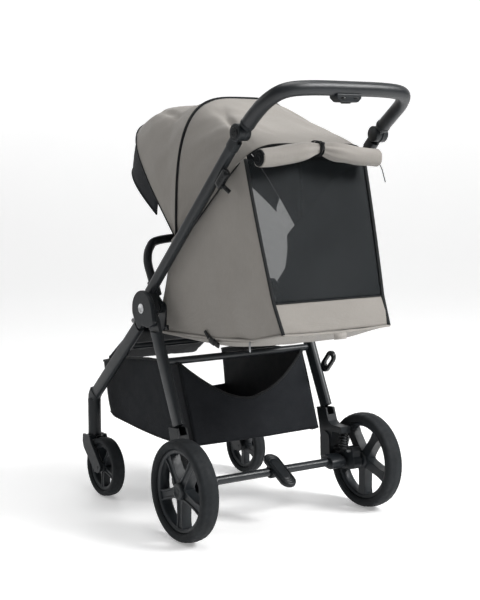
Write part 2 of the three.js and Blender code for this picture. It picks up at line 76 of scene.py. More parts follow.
# ---- materials ----
class Finish:
    """A principled material whose colour, roughness and bump come from nodes."""

    def __init__(self, name, color, rough, metal=0.0, **sockets):
        self.mat = bpy.data.materials.new(name)
        self.mat.use_nodes = True
        self.nodes = self.mat.node_tree.nodes
        self.links = self.mat.node_tree.links
        self.bsdf = self.nodes["Principled BSDF"]
        self.color = color
        self.rough = rough
        self.set("Metallic", metal)
        for key, value in sockets.items():
            self.set(key.replace("_", " "), value)
        self.where = self.nodes.new("ShaderNodeTexCoord").outputs["Object"]
        self.height = None

    def set(self, socket, value):
        self.bsdf.inputs[socket].default_value = value

    def noise(self, scale, detail=3.0, rough=0.55, stretch=None):
        node = self.nodes.new("ShaderNodeTexNoise")
        node.inputs["Scale"].default_value = scale
        node.inputs["Detail"].default_value = detail
        node.inputs["Roughness"].default_value = rough
        self.links.new(self.place(stretch), node.inputs["Vector"])
        return node.outputs["Fac"]

    def cells(self, scale, feature="DISTANCE_TO_EDGE"):
        node = self.nodes.new("ShaderNodeTexVoronoi")
        node.feature = feature
        node.inputs["Scale"].default_value = scale
        self.links.new(self.where, node.inputs["Vector"])
        return node.outputs["Distance"]

    def place(self, stretch):
        if stretch is None:
            return self.where
        node = self.nodes.new("ShaderNodeMapping")
        node.inputs["Scale"].default_value = stretch
        self.links.new(self.where, node.inputs["Vector"])
        return node.outputs["Vector"]

    def waves(self, axis, pitch):
        """A thread pattern along one axis, with the given pitch in metres."""
        node = self.nodes.new("ShaderNodeTexWave")
        node.wave_type = "BANDS"
        node.bands_direction = axis
        node.wave_profile = "SIN"
        node.inputs["Scale"].default_value = 0.314159 / pitch
        node.inputs["Distortion"].default_value = 0.6
        node.inputs["Detail"].default_value = 1.0
        self.links.new(self.where, node.inputs["Vector"])
        return node.outputs["Fac"]

    def math(self, operation, a, b):
        node = self.nodes.new("ShaderNodeMath")
        node.operation = operation
        for socket, value in zip(node.inputs, (a, b)):
            if isinstance(value, (int, float)):
                socket.default_value = value
            else:
                self.links.new(value, socket)
        return node.outputs[0]

    def spread(self, source, low, high, start=0.0, end=1.0):
        node = self.nodes.new("ShaderNodeMapRange")
        for key, value in (("From Min", start), ("From Max", end), ("To Min", low), ("To Max", high)):
            node.inputs[key].default_value = value
        self.links.new(source, node.inputs["Value"])
        return node.outputs["Result"]

    def tint(self, source, amount):
        """Colour that varies round the base colour by a share, following source."""
        ramp = self.nodes.new("ShaderNodeValToRGB")
        dark = [c * (1 - amount) for c in self.color]
        light = [min(1.0, c * (1 + amount)) for c in self.color]
        ramp.color_ramp.elements[0].position = 0.3
        ramp.color_ramp.elements[1].position = 0.7
        ramp.color_ramp.elements[0].color = (*dark, 1)
        ramp.color_ramp.elements[1].color = (*light, 1)
        self.links.new(source, ramp.inputs["Fac"])
        self.links.new(ramp.outputs["Color"], self.bsdf.inputs["Base Color"])
        return self

    def vary_rough(self, source, amount):
        self.links.new(self.spread(source, self.rough - amount, self.rough + amount, 0.3, 0.7),
                       self.bsdf.inputs["Roughness"])
        return self

    def bump(self, source, distance, strength=1.0):
        node = self.nodes.new("ShaderNodeBump")
        node.inputs["Distance"].default_value = distance
        node.inputs["Strength"].default_value = strength
        self.links.new(source, node.inputs["Height"])
        if self.height is not None:
            self.links.new(self.height, node.inputs["Normal"])
        self.height = node.outputs["Normal"]
        self.links.new(self.height, self.bsdf.inputs["Normal"])
        return self


def coated_metal(name, color, rough):
    """Powder coat: a fine orange peel with faint handling marks."""
    f = Finish(name, color, rough, Specular_IOR_Level=0.42)
    f.tint(f.noise(14, 4), 0.16)
    f.vary_rough(f.noise(60, 5), 0.07)
    return f.bump(f.noise(1400, 2), 0.00008, 0.5).mat


def moulded(name, color, rough):
    """Fine spark-eroded texture on injection moulded plastic."""
    f = Finish(name, color, rough, Specular_IOR_Level=0.3)
    f.tint(f.noise(30, 4), 0.14)
    f.vary_rough(f.noise(120, 4), 0.06)
    return f.bump(f.noise(2200, 3), 0.00012, 0.5).mat


def leather(name, color, rough):
    f = Finish(name, color, rough, Specular_IOR_Level=0.42)
    f.tint(f.noise(40, 5), 0.2)
    f.vary_rough(f.noise(200, 3), 0.08)
    f.bump(f.cells(620), 0.0004, 0.55)
    return f.bump(f.noise(90, 4), 0.0005, 0.25).mat


def woven(name, color, rough, pitch, sheen=0.2, amount=0.07):
    """Plain weave cloth: warp and weft threads, slubs, and slow shading from wear."""
    f = Finish(name, color, rough, Sheen_Weight=sheen, Sheen_Roughness=0.45, Specular_IOR_Level=0.15)
    slow = f.noise(9, 5, 0.6)
    slub = f.noise(420, 2, 0.5, (1.0, 1.0, 0.12))
    both = f.math("ADD", f.math("MULTIPLY", slow, 0.6), f.math("MULTIPLY", slub, 0.4))
    f.tint(both, amount)
    f.vary_rough(f.noise(50, 3), 0.05)
    threads = f.math("ADD", f.waves("X", pitch), f.math("ADD", f.waves("Y", pitch), f.waves("Z", pitch)))
    f.bump(threads, 0.00025, 0.5)
    return f.bump(f.noise(70, 4), 0.0006, 0.35).mat


def rubber(name, color):
    f = Finish(name, color, 0.72, Specular_IOR_Level=0.25)
    f.tint(f.noise(25, 5), 0.22)
    f.vary_rough(f.noise(90, 4), 0.08)
    return f.bump(f.noise(900, 4), 0.0003, 0.6).mat


def see_through_mesh(name, color):
    """Knitted window mesh: dark threads with open holes between them."""
    f = Finish(name, color, 0.8, Specular_IOR_Level=0.12)
    f.tint(f.noise(20, 4), 0.1)
    holes = f.math("MULTIPLY", f.waves("X", 0.0024), f.waves("Z", 0.0024))
    f.links.new(f.spread(holes, 0.66, 0.3), f.bsdf.inputs["Alpha"])
    f.bump(holes, 0.0003, 0.6)
    return f.mat


def wire_steel(name, color):
    f = Finish(name, color, 0.34, 0.9)
    f.tint(f.noise(60, 4), 0.12)
    f.vary_rough(f.noise(150, 4), 0.08)
    return f.bump(f.noise(1500, 3), 0.00006, 0.5).mat


FRAME = coated_metal("charcoal_frame", (0.0125, 0.0152, 0.018), 0.36)
PLASTIC = moulded("charcoal_plastic", (0.0095, 0.0118, 0.014), 0.42)
SHINY = moulded("satin_black_button", (0.007, 0.008, 0.009), 0.3)
RIM = moulded("rim_plastic", (0.015, 0.018, 0.021), 0.38)
TYRE = rubber("foam_tyre", (0.011, 0.013, 0.015))
LEATHER = leather("black_leatherette", (0.008, 0.0098, 0.0122), 0.36)
TAUPE = woven("taupe_cloth", (0.262, 0.246, 0.226), 0.8, 0.0012)
TAUPE_PIPING = woven("taupe_piping", (0.3, 0.282, 0.26), 0.78, 0.0009)
BLACK = woven("black_cloth", (0.0095, 0.011, 0.0138), 0.75, 0.0014, 0.05, 0.16)
PIPING = woven("black_piping", (0.007, 0.008, 0.009), 0.55, 0.0009, 0.06, 0.2)
# Near-black cloth for the inner faces of the hood and tub sides and the ends of the rolled flap: painted
# shade standing in for the shadowed inside of the taupe cloth.
INSIDE_PAINTED_SHADE = woven("inside_painted_shade", (0.012, 0.014, 0.016), 0.85, 0.0012, 0.05, 0.12)
MESH = see_through_mesh("window_mesh", (0.014, 0.017, 0.019))
STEEL = wire_steel("zinc_steel", (0.3, 0.31, 0.32))
SPRING_BLACK = wire_steel("black_spring", (0.05, 0.053, 0.056))
BADGE = wire_steel("satin_badge", (0.62, 0.63, 0.64))


# ---- mesh helpers ----
def make(name, verts, faces, material, body=None, node=(), smooth=True):
    """A piece from points in metres. It rides on a body and stands for the named CAD nodes."""
    mesh = bpy.data.meshes.new(name)
    mesh.from_pydata([tuple(v) for v in verts], [], faces)
    mesh.validate()
    bm = bmesh.new()
    bm.from_mesh(mesh)
    bmesh.ops.recalc_face_normals(bm, faces=bm.faces)
    bm.to_mesh(mesh)
    bm.free()
    mesh.polygons.foreach_set("use_smooth", [smooth] * len(mesh.polygons))
    mesh.materials.append(material)
    obj = bpy.data.objects.new(name, mesh)
    bpy.context.scene.collection.objects.link(obj)
    if body:
        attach(obj, body)
    if node:
        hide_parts(*([node] if isinstance(node, str) else node))
    return obj


def apply_modifiers(obj):
    bpy.context.view_layer.update()
    evaluated = obj.evaluated_get(bpy.context.evaluated_depsgraph_get())
    mesh = bpy.data.meshes.new_from_object(evaluated)
    obj.modifiers.clear()
    obj.data = mesh
    return obj


def soften(obj, width, segments=2, angle=35):
    bevel = obj.modifiers.new("bevel", "BEVEL")
    bevel.width = width / 1000
    bevel.segments = segments
    bevel.limit_method = "ANGLE"
    bevel.angle_limit = math.radians(angle)
    bevel.harden_normals = False
    weighted = obj.modifiers.new("normals", "WEIGHTED_NORMAL")
    weighted.keep_sharp = True
    return obj


def polish(node, material, width=0.8):
    """A carried-over CAD node gets rounded edges, smooth shading and a material."""
    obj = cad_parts[node]
    obj.data.materials.clear()
    obj.data.materials.append(material)
    obj.data.polygons.foreach_set("use_smooth", [True] * len(obj.data.polygons))
    weld = obj.modifiers.new("weld", "WELD")
    weld.merge_threshold = 0.00002
    return soften(obj, width)


def catmull(points, steps):
    """Points on a smooth curve through the given points."""
    out = []
    last = len(points) - 1
    for i in range(last):
        p0 = points[max(i - 1, 0)]
        p1, p2 = points[i], points[i + 1]
        p3 = points[min(i + 2, last)]
        for k in range(steps):
            t = k / steps
            out.append(0.5 * ((2 * p1) + (p2 - p0) * t + (2 * p0 - 5 * p1 + 4 * p2 - p3) * t * t
                              + (3 * p1 - p0 - 3 * p2 + p3) * t * t * t))
    out.append(points[-1].copy())
    return out


def ring_section(a, b, count=20, power=2.0):
    """A round or rounded-square section with half-sizes a and b, in millimetres."""
    out = []
    for i in range(count):
        t = 2 * math.pi * i / count
        c, s = math.cos(t), math.sin(t)
        out.append((a * math.copysign(abs(c) ** (2 / power), c), b * math.copysign(abs(s) ** (2 / power), s)))
    return out


def sweep(name, path, section, material, body, node=(), reference=Vector((1, 0, 0)), closed=False,
          scale=None):
    """A section in millimetres swept along a path in metres; its first axis leans towards reference."""
    n = len(path)
    verts, faces = [], []
    count = len(section)
    side = reference.normalized()
    for i, p in enumerate(path):
        before = path[(i - 1) % n] if closed or i > 0 else p
        after = path[(i + 1) % n] if closed or i < n - 1 else p
        tangent = (after - before).normalized()
        side = (side - tangent * side.dot(tangent)).normalized()
        up = tangent.cross(side)
        grow = scale(i / (n - 1)) if scale else 1.0
        verts += [p + side * (a * grow / 1000) + up * (b * grow / 1000) for a, b in section]
    rows = n if closed else n - 1
    for i in range(rows):
        j = (i + 1) % n
        for k in range(count):
            m = (k + 1) % count
            faces.append((i * count + k, i * count + m, j * count + m, j * count + k))
    if not closed:
        faces.append(tuple(range(count))[::-1])
        faces.append(tuple((n - 1) * count + k for k in range(count)))
    return make(name, verts, faces, material, body, node)


def lathe(name, profile, centre, material, body=None, node=(), segments=72, axis="X", closed=True,
          ripple=None):
    """A profile of (radius, height) millimetres spun about an axis through centre (mm from the rear axle)."""
    verts, faces = [], []
    count = len(profile)
    for i in range(segments):
        angle = 2 * math.pi * i / segments
        for k, (r, h) in enumerate(profile):
            rr = r + (ripple(i, k) if ripple else 0.0)
            u, v = rr * math.sin(angle), rr * math.cos(angle)
            x, y, z = (h, u, v) if axis == "X" else (u, v, h)
            verts.append(mm(centre[0] + x, centre[1] + y, centre[2] + z))
    rows = count if closed else count - 1
    for i in range(segments):
        j = (i + 1) % segments
        for k in range(rows):
            m = (k + 1) % count
            faces.append((i * count + k, i * count + m, j * count + m, j * count + k))
    if not closed:
        faces.append(tuple(i * count for i in range(segments)))
        faces.append(tuple(i * count + count - 1 for i in range(segments))[::-1])
    return make(name, verts, faces, material, body, node)


def plate(name, outline, x0, x1, material, body, node=(), bevel=2.0):
    """A (y, z) outline in millimetres made solid between two X values, with rounded edges."""
    count = len(outline)
    verts = [mm(x, y, z) for x in (x0, x1) for y, z in outline]
    faces = [tuple(range(count)), tuple(range(count, 2 * count))[::-1]]
    for k in range(count):
        m = (k + 1) % count
        faces.append((k, m, count + m, count + k))
    obj = make(name, verts, faces, material, body, node)
    soften(obj, bevel, 3)
    return apply_modifiers(obj)


def smooth_outline(points, steps=4):
    """A closed outline rounded through its points."""
    n = len(points)
    out = []
    for i in range(n):
        p0, p1, p2, p3 = (Vector(points[(i + d) % n]) for d in (-1, 0, 1, 2))
        for k in range(steps):
            t = k / steps
            q = 0.5 * ((2 * p1) + (p2 - p0) * t + (2 * p0 - 5 * p1 + 4 * p2 - p3) * t * t
                       + (3 * p1 - p0 - 3 * p2 + p3) * t * t * t)
            out.append((q.x, q.y))
    return out


def grid(name, point, nu, nv, material, thickness=CLOTH, body=None, node=(), inner_shade=None):
    """Cloth from point(u, v) in metres over the unit square, with real thickness."""
    verts = [point(i / nu, j / nv) for i in range(nu + 1) for j in range(nv + 1)]
    faces = []
    for i in range(nu):
        for j in range(nv):
            a = i * (nv + 1) + j
            faces.append((a, a + 1, a + nv + 2, a + nv + 1))
    obj = make(name, verts, faces, material)
    solid = obj.modifiers.new("thickness", "SOLIDIFY")
    solid.thickness = thickness / 1000
    solid.offset = -1
    # The inner faces get the second material, which is painted shade wherever it is used here.
    if inner_shade:
        obj.data.materials.append(inner_shade)
        solid.material_offset = 1
    apply_modifiers(obj)
    if body:
        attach(obj, body)
    if node:
        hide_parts(*([node] if isinstance(node, str) else node))
    return obj


def wrinkle(p, scale, amount, seed=0.0):
    """A smooth pseudo-random offset in millimetres."""
    return amount * noise.noise(Vector((p[0] * scale + seed, p[1] * scale, p[2] * scale)))


def lerp(a, b, t):
    return a + (b - a) * t


def ease(t):
    t = min(1.0, max(0.0, t))
    return t * t * (3 - 2 * t)


# ---- wheels ----
def tyre(name, node, body, centre, radius, inner, half, blocks):
    """Foam tyre with two grooves and notched shoulders."""
    profile = [(inner, -half + 5)]
    steps = 14
    for i in range(steps + 1):
        t = math.pi * i / steps
        r = inner + 4 + (radius - inner - 4) * math.sin(t) ** 0.36
        h = -half * math.cos(t)
        if i in (5, 9):
            r -= 1.3
        profile.append((r, h))
    profile.append((inner, half - 5))

    def notch(i, k):
        shoulder = k in (4, 5, 11, 12)
        return -1.1 if shoulder and i % 4 == 0 else 0.0

    obj = lathe(name, profile, centre, TYRE, body, node, segments=blocks, ripple=notch)
    return obj


def spoke_mesh(length, root, tip, half, wall=4.2, recess=3.0):
    """One U-channel spoke along +Z from the wheel centre, open outward (+X)."""
    rows = 8
    verts, faces = [], []
    for i in range(rows + 1):
        t = i / rows
        z = 12 + (length - 12) * t
        flare = 1.0 + 0.35 * ease((t - 0.7) / 0.3) + 0.25 * ease((0.25 - t) / 0.25)
        w = lerp(root, tip, t) * flare
        section = [(-w, -half), (-w, half), (-w + wall, half), (-w + wall + 1, half - recess),
                   (w - wall - 1, half - recess), (w - wall, half), (w, half), (w, -half)]
        verts += [(h, y, z) for y, h in section]
    n = 8
    for i in range(rows):
        for k in range(n):
            m = (k + 1) % n
            faces.append((i * n + k, i * n + m, (i + 1) * n + m, (i + 1) * n + k))
    faces.append(tuple(range(n))[::-1])
    faces.append(tuple(rows * n + k for k in range(n)))
    return verts, faces


def rim(name, node, body, centre, side, rim_r, half, boss, spoke_half, root, tip, recess):
    """Felloe ring, five channel spokes and a capped boss, joined into one piece."""
    x, y, z = centre
    felloe = lathe(name + "_felloe", [
        (rim_r - 9, -half + 6), (rim_r - 2, -half + 4), (rim_r, -half + 5), (rim_r, half - 5),
        (rim_r - 2, half - 4), (rim_r - 9, half - 6), (rim_r - 10, half - 8), (rim_r - 10, -half + 8),
    ], centre, RIM, segments=96)
    boss_piece = lathe(name + "_boss", [
        (0.01, -half), (boss - 2, -half), (boss, -half + 2), (boss, half - 3), (boss - 1.5, half),
        (boss * 0.62, half + 1.0), (boss * 0.58, half - 1.2), (0.01, half - 1.6),
    ], centre, RIM, segments=48, closed=False)
    if side < 0:
        for v in boss_piece.data.vertices:
            v.co.x = 2 * x / 1000 - v.co.x
    parts = [felloe, boss_piece]
    verts, faces = spoke_mesh(rim_r - 7, root, tip, spoke_half, recess=recess)
    for i in range(5):
        turn = math.pi + 2 * math.pi * i / 5
        placed = []
        for h, across, out in verts:
            yy = across * math.cos(turn) - out * math.sin(turn)
            zz = across * math.sin(turn) + out * math.cos(turn)
            placed.append(mm(x + side * h, y + yy, z + zz))
        parts.append(soften(make(f"{name}_spoke_{i}", placed, faces, RIM, smooth=True), 0.8, 2, 40))
    for p in parts:
        apply_modifiers(p)
    merged = join(name, parts)
    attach(merged, body)
    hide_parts(node)
    return merged


def join(name, parts):
    """Joins pieces that share a body into one mesh."""
    bm = bmesh.new()
    materials = []
    for p in parts:
        start = len(bm.faces)
        bm.from_mesh(p.data)
        bm.faces.ensure_lookup_table()
        slots = []
        for m in p.data.materials:
            if m not in materials:
                materials.append(m)
            slots.append(materials.index(m))
        for f in bm.faces[start:]:
            f.material_index = slots[f.material_index] if slots else 0
    mesh = bpy.data.meshes.new(name)
    bm.to_mesh(mesh)
    bm.free()
    for m in materials:
        mesh.materials.append(m)
    for p in parts:
        bpy.data.objects.remove(p)
    obj = bpy.data.objects.new(name, mesh)
    bpy.context.scene.collection.objects.link(obj)
    return obj


def wheels():
    for side, s in SIDES:
        centre = (s * REAR_X, 0.0, REAR_R)
        tyre(f"rear_tyre_{side}_foam", f"rear_tyre_{side}", f"rear_wheel_{side}", centre, REAR_R, 97.3,
             REAR_WIDTH / 2 + 3.8, 144)
        rim(f"rear_rim_{side}_moulded", f"rear_rim_{side}", f"rear_wheel_{side}", centre, s, 97.0,
            REAR_WIDTH / 2, 20.0, 13.0, 12.5, 10.5, 3.5)
        centre = (s * FRONT_X, FRONT_Y, FRONT_R)
        tyre(f"front_tyre_{side}_foam", f"front_tyre_{side}", f"front_wheel_{side}", centre, FRONT_R, 61.3,
             FRONT_WIDTH / 2 + 2.2, 96)
        rim(f"front_rim_{side}_moulded", f"front_rim_{side}", f"front_wheel_{side}", centre, s, 61.0,
            FRONT_WIDTH / 2, 13.0, 9.5, 7.5, 6.5, 2.5)


# ---- frame ----
def hubs():
    """Outer hub covers with a plain round badge."""
    cover = smooth_outline([
        (-292, 500), (-293, 522), (-285, 541), (-269, 555), (-250, 560), (-230, 557), (-212, 545),
        (-201, 527), (-196, 506), (-191, 486), (-208, 475), (-227, 471),
        (-246, 474), (-263, 464), (-279, 481),
    ])
    for side, s in SIDES:
        x0, x1 = sorted((s * 225.8, s * 238.5))
        plate(f"hub_cover_{side}", cover, x0, x1, PLASTIC, "chassis", f"hub_housing_{side}", 3.4)
        inner, outer = sorted((s * 164.5, s * 226))
        pin = [(0.01, inner), (7.8, inner), (7.8, outer), (0.01, outer)]
        lathe(f"hub_pin_{side}", pin, (0, HUB[0], HUB[1]), STEEL, "chassis", segments=32, closed=False)
        ring = [(0.01, 238.2), (11.8, 238.2), (12.2, 238.8), (11.6, 239.6), (10.6, 239.7),
                (10.2, 239.2), (0.01, 239.4)]
        lathe(f"hub_badge_{side}", [(r, s * x) for r, x in ring], (0, -248, 516), BADGE, "chassis",
              segments=48, closed=False)


def frame_parts():
    for side, s in SIDES:
        for node in ("front_leg", "rear_leg", "pusher_tube"):
            polish(f"{node}_{side}", FRAME, 0.6)
        for node in ("leg_housing", "swing_arm", "caster_fork", "bumper_mount"):
            polish(f"{node}_{side}", PLASTIC, 1.2)
        polish(f"caster_sleeve_{side}", PLASTIC, 0.8)
        polish(f"swivel_lock_{side}", SHINY, 0.8)
        polish(f"brake_pin_{side}", STEEL, 0.5)
        polish(f"handle_button_{side}", SHINY, 0.6)
        polish(f"knuckle_{side}", PLASTIC, 1.0)
    for node in ("front_cross_tube", "seat_frame", "rear_cross_tube", "axle_crossbar"):
        polish(node, FRAME, 0.5)
    polish("fold_release_button", SHINY, 0.6)
    polish("fold_latch", SHINY, 1.2)
    polish("harness_buckle", PLASTIC, 2.0)
    polish("buckle_button", SHINY, 0.6)
    polish("backrest_board", PLASTIC, 1.0)


def lozenge(name, x0, a, b, half, thick, material, body, node=(), grooves=0):
    """A rounded oblong pad at x0, sloping from a to b in the Y-Z plane (mm), crowned and grooved."""
    a, b = Vector(a), Vector(b)
    along = (b - a).normalized()
    up = Vector((-along.y, along.x))
    middle, reach = (a + b) / 2, (b - a).length / 2
    rings = [(0.0, 1.0), (0.5, 1.0)]
    for i in range(grooves):
        share = 0.62 + 0.1 * i
        rings += [(share, 1.0), (share + 0.02, 0.8), (share + 0.05, 0.8), (share + 0.07, 1.0)]
    rings += [(0.93, 0.94), (0.98, 0.7), (1.0, 0.35), (1.0, -0.5), (0.96, -0.85), (0.85, -1.0), (0.0, -1.0)]
    verts, faces, around = [], [], 64
    for share, lift in rings:
        for k in range(around):
            t = 2 * math.pi * k / around
            x = half * share * math.cos(t)
            v = share * (half * math.sin(t) + math.copysign(reach - half, math.sin(t)))
            p = middle + along * v + up * (lift * thick / 2)
            verts.append(mm(x0 + x, p.x, p.y))
    for i in range(len(rings) - 1):
        for k in range(around):
            m = (k + 1) % around
            faces.append((i * around + k, i * around + m, (i + 1) * around + m, (i + 1) * around + k))
    return make(name, verts, faces, material, body, node)


def pedal():
    lozenge("brake_pedal_pad", -12.0, (-66, 153), (36, 96), 20.5, 13, PLASTIC, "brake_pedal",
            "brake_pedal", grooves=3)
    lathe("brake_pedal_wrap", [(10.9, -31), (15.2, -31), (16, -30), (16, 6), (15.2, 7), (10.9, 7)],
          (0, -32, 120), PLASTIC, "brake_pedal", segments=48)


def release():
    """Fold release: a tapered grip under the handle with two finger recesses."""
    top, bottom, depth = (-24, 46), (-14, 34), (240, 268)
    verts = []
    for z, (x0, x1) in ((1022, top), (1012, top), (1003, bottom)):
        verts += [mm(x0, depth[0], z), mm(x1, depth[0], z), mm(x1, depth[1], z), mm(x0, depth[1], z)]
    faces = [(0, 1, 2, 3), (8, 11, 10, 9)]
    for i in (0, 4):
        for k in range(4):
            m = (k + 1) % 4
            faces.append((i + k, i + 4 + k, i + 4 + m, i + m))
    body = make("fold_release_grip", verts, faces, PLASTIC)
    soften(body, 3.0, 3, 20)
    apply_modifiers(body)
    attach(body, "handle")
    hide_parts("fold_release_housing")
    for i, x in enumerate((-9, 27)):
        dish = ring_section(8.5, 3.2, 24)
        recess = [mm(x, 269.0, 1012), mm(x, 267.4, 1012)]
        sweep(f"release_recess_{i}", recess, dish, SHINY, "handle")


def elbows():
    """Moulded elbows where the front legs enter the caster sleeves."""
    for side, s in SIDES:
        bend = ((-512, 269), (-517, 262), (-521, 255), (-522, 246))
        path = [mm(s * 223, y, z) for y, z in bend]
        sweep(f"leg_elbow_{side}", catmull(path, 5), ring_section(12.2, 18.4, 28, 4), PLASTIC, "chassis")


def springs():
    low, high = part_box("suspension_spring_left")
    for side, s in SIDES:
        cx = s * 229.0
        turns, per_turn = 6, 20
        path = []
        for i in range(turns * per_turn + 1):
            a = 2 * math.pi * i / per_turn
            z = lerp(low.z * 1000 + 1.8, high.z * 1000 - 1.8, i / (turns * per_turn))
            path.append(mm(cx + 10.5 * math.cos(a), -36 + 10.5 * math.sin(a), z))
        sweep(f"spring_wire_{side}", path, ring_section(1.7, 1.7, 10), SPRING_BLACK, "rear_legs",
              f"suspension_spring_{side}")


def handle():
    half = [(193, 138, 953), (193, 172, 979), (188, 211, 1006), (166, 240, 1025), (112, 252, 1032)]
    route = half + [(0, 255, 1033)] + [(-x, y, z) for x, y, z in reversed(half)]
    path = catmull([mm(*p) for p in route], 14)
    wrap = sweep("handle_wrap", path, ring_section(16.8, 15.8, 28), LEATHER, None,
                 reference=Vector((0.2, 0.7, 0.7)))
    ends = []
    for side, s in SIDES:
        ends.append(lathe(f"handle_end_{side}", [(0.01, s * 180), (17.4, s * 180), (18.5, s * 181.2),
                    (18.5, s * 196.6), (17.8, s * 197.4), (0.01, s * 197.4)], (0, *KNUCKLE), PLASTIC,
                    segments=48, closed=False))
        a, b = mm(s * 190, KNUCKLE[0], KNUCKLE[1]), mm(s * 193, 144, 957.5)
        ends.append(sweep(f"handle_stub_{side}", [a.lerp(b, t / 6) for t in range(7)],
                          ring_section(8.5, 13, 20, 3), PLASTIC, None))
        ring = path[2:5] if s > 0 else path[-5:-2]
        ends.append(sweep(f"handle_ferrule_{side}", ring, ring_section(17.6, 16.6, 28), PLASTIC, None))
    bar = join("handle_bar_wrapped", [wrap, *ends])
    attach(bar, "handle")
    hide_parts("handle_bar")
    seam = [p - Vector((0, 0.0052, 0.0158)) for p in path[8:-8]]
    sweep("handle_seam", seam, ring_section(0.7, 0.5, 8), PIPING, "handle")


def bumper():
    foot = Vector((170, -292, 546))
    lift = Vector((0, -36, 72)).normalized()
    first = [foot, foot + lift * 40, Vector((169, -331, 622)), Vector((158, -339, 656)),
             Vector((126, -343, 674))]
    route = first + [Vector((0, -346, 680))] + [Vector((-p.x, p.y, p.z)) for p in reversed(first)]
    path = catmull([mm(*p) for p in route], 12)
    sweep("bumper_wrap", path, ring_section(11, 11, 24), LEATHER, "bumper_bar", "bumper_bar")
    seam = [p + Vector((0, 0.0108, -0.002)) for p in path[16:-16]]
    sweep("bumper_seam", seam, ring_section(0.6, 0.5, 8), PIPING, "bumper_bar")


# ---- hood ----
HOOD_STATIONS = [  # angle, half-width, reach, squareness of the arch
    (39.0, 174.0, 371.0, 7.0), (50.0, 178.0, 358.0, 5.6), (70.0, 184.0, 347.0, 4.2),
    (88.0, 189.0, 345.0, 3.5), (92.0, 190.0, 345.0, 3.5), (106.0, 190.0, 354.0, 3.6),
    (122.0, 188.0, 398.0, 4.1), (134.0, 186.0, 410.0, 4.2), (149.0, 183.0, 372.0, 4.2),
]


def hood_shape(angle):
    for a, b in zip(HOOD_STATIONS, HOOD_STATIONS[1:]):
        if angle <= b[0]:
            t = (angle - a[0]) / (b[0] - a[0])
            return [lerp(p, q, t) for p, q in zip(a[1:], b[1:])]
    return list(HOOD_STATIONS[-1][1:])


def hood_point(angle, v, inset=0.0, low=0.06):
    """v runs from the left base over the crown to the right base."""
    half, reach, power = hood_shape(angle)
    start = math.asin(low ** (power / 2))
    t = lerp(start, math.pi - start, v)
    c, s = math.cos(t), math.sin(t)
    x = math.copysign(abs(c) ** (2 / power), c) * (half - inset)
    r = abs(s) ** (2 / power) * (reach - inset)
    a = math.radians(angle)
    return mm(x, HOOD[0] + r * math.cos(a), HOOD[1] + r * math.sin(a))


def hood_cloth(u, v, a0, a1, sag, folds, seed):
    """Cloth stretched between two bows: it draws in between them and wrinkles along the pull."""
    angle = lerp(a0, a1, u)
    p = hood_point(angle, v)
    centre = mm(0, HOOD[0], HOOD[1] + 60)
    out = (p - centre).normalized()
    slack = math.sin(math.pi * u)
    crown = math.sin(math.pi * v) ** 2
    push = -sag * slack * (0.25 + 0.75 * crown)
    ray = math.atan2(p.z - centre.z, p.x)
    push += folds * slack * noise.noise(Vector((ray * 3.1 + seed, u * 1.3, 0.3)))
    push += 0.45 * folds * slack * noise.noise(Vector((ray * 9.0 + u * 5.0, seed, u * 0.8)))
    for start, lean in ((0.24, 0.5), (0.3, 0.2), (0.7, -0.3), (0.77, -0.55)):
        away = (v - start - lean * u * 0.4) / 0.022
        push -= 0.5 * folds * slack * math.exp(-away * away)
    push += wrinkle(p, 16, 1.2, seed)
    return p + out * (push / 1000)


def hood():
    # The hood cloth's inner faces are painted shade in near-black, not the taupe of the cloth.
    rear = grid("hood_rear_cloth", lambda u, v: hood_cloth(u, v, 39, 89, 26.0, 9.0, 2.3), 44, 100, TAUPE,
                node="hood_rear", inner_shade=INSIDE_PAINTED_SHADE)
    front = grid("hood_front_cloth", lambda u, v: hood_cloth(u, v, 91, 134, 14.0, 6.0, 7.1), 40, 100, TAUPE,
                 node="hood_front", inner_shade=INSIDE_PAINTED_SHADE)
    visor = grid("hood_visor_cloth", lambda u, v: hood_point(lerp(134.3, 149, u), lerp(0.03, 0.97, v), 1.2),
                 12, 84, BLACK, node="hood_visor")
    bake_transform(rear)
    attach(front, "hood_front")
    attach(visor, "hood_front")
    for name, angle, inset, width, body in (
            ("bow_piping", 90.0, -1.0, 3.6, "hood_bow"),
            ("front_edge_piping", 134.2, -1.0, 1.6, "hood_front"),
            ("visor_edge_piping", 149.0, 0.5, 2.0, "hood_front"),
            ("rear_edge_piping", 39.0, -0.4, 2.0, "upper_frame")):
        span = (0.03, 0.97) if name.startswith("visor") else (0.0, 1.0)
        path = [hood_point(angle, lerp(*span, i / 140), inset) for i in range(141)]
        sweep(name, path, ring_section(width, width * 0.8, 10), PIPING, body)
    rod = [hood_point(90, i / 140, 6.5) for i in range(141)]
    sweep("hood_bow_rod", rod, ring_section(4.5, 3.5, 14), SHINY, "hood_bow", "hood_bow")


# ---- seat tub, rear panel and flap ----
TUB_BOTTOM = [(-296, 452), (-150, 457), (-32, 461), (110, 472), (219, 496)]
TUB_TOP = [(-206, 684), (-132, 738), (-40, 812), (40, 858), (98, 886)]
PANEL_LINE = [(219, 497), (190, 563), (100, 880)]
PANEL_SPLIT = math.dist(*PANEL_LINE[:2]) / (math.dist(*PANEL_LINE[:2]) + math.dist(*PANEL_LINE[1:]))


def along_line(points, t):
    """A (y, z) point a share t of the way along a line of points."""
    spans = [math.dist(a, b) for a, b in zip(points, points[1:])]
    left = t * sum(spans)
    for a, b, d in zip(points, points[1:], spans):
        if left <= d or (a, b) == (points[-2], points[-1]):
            k = min(1.0, left / d)
            return lerp(a[0], b[0], k), lerp(a[1], b[1], k)
        left -= d


def tub_half(t, u):
    """Half-width of the tub a share t up its side and u along it: narrower low down at the rear."""
    return TUB_HALF - 3 - lerp(4, 19, u) * (1 - t) ** 1.5 + 7 * (1 - u) ** 4


